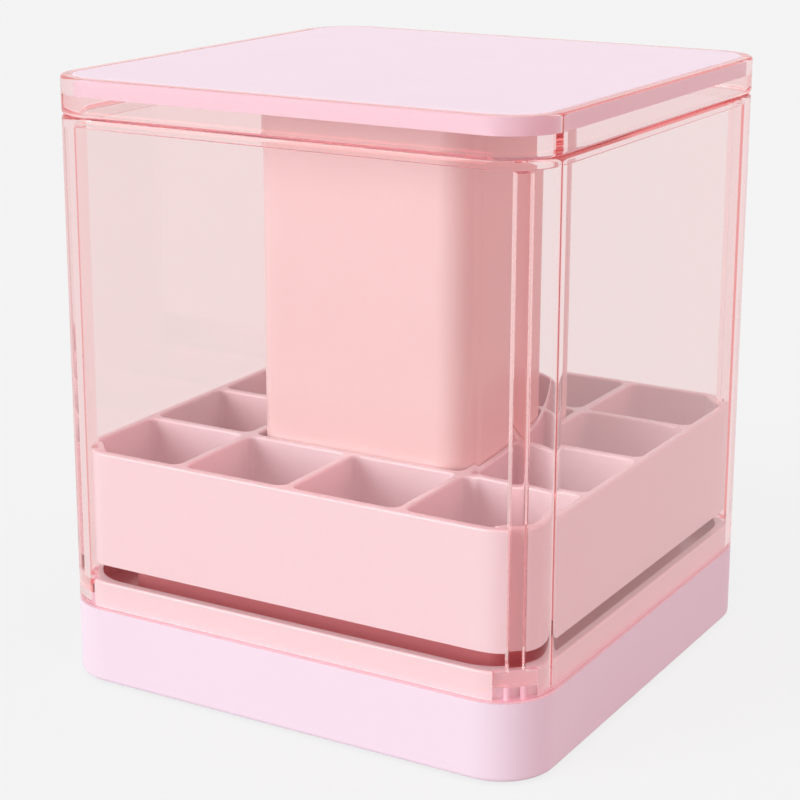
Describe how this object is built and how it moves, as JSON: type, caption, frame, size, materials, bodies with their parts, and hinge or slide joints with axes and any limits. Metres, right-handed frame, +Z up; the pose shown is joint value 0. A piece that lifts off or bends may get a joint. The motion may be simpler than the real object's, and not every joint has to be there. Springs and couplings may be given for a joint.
{
  "type": "lip gloss organizer",
  "caption": "Square clear-walled organizer whose lid, centre column and pocketed tray pull up together out of a dust-proof case on an opaque base.",
  "frame": {"origin": "centre of the underside, at the level the feet stand on", "axes": "+Z up, along the lift; +X and +Y square to the sides"},
  "size_m": [0.12, 0.12, 0.1378],
  "materials": {
    "lavender_plastic": "satin moulded ABS",
    "pink_plastic": "glossy moulded ABS",
    "clear_plastic": "clear pink acrylic",
    "guide_plastic": "acetal",
    "screw_steel": "zinc plated",
    "ballast_steel": "rolled",
    "foot_rubber": "matte silicone",
    "pad_rubber": "matte silicone"
  },
  "bodies": {
    "case": {"base_shell": "lavender_plastic", "base_cover": "lavender_plastic", "cover_screws": "screw_steel", "rubber_feet": "foot_rubber", "ballast_plate": "ballast_steel", "riser_deck": "pink_plastic", "riser_screws": "screw_steel", "clear_case": "clear_plastic", "guide_mast": "pink_plastic", "mast_screws": "screw_steel", "mast_head": "guide_plastic", "mast_head_screws": "screw_steel", "friction_pads": "pad_rubber", "tray_bumpers": "pad_rubber"},
    "carrier": {"pocket_tray": "pink_plastic", "column_shell": "pink_plastic", "column_screws": "screw_steel", "guide_bush": "guide_plastic", "column_cap": "pink_plastic", "lid_screws": "screw_steel", "lid_plate": "lavender_plastic", "lid_rim": "clear_plastic"}
  },
  "joints": [
    {"name": "carrier_lift", "type": "slide", "parent": "case", "child": "carrier", "axis": [0, 0, 1], "range_m": [0, 0.0763]}
  ]
}
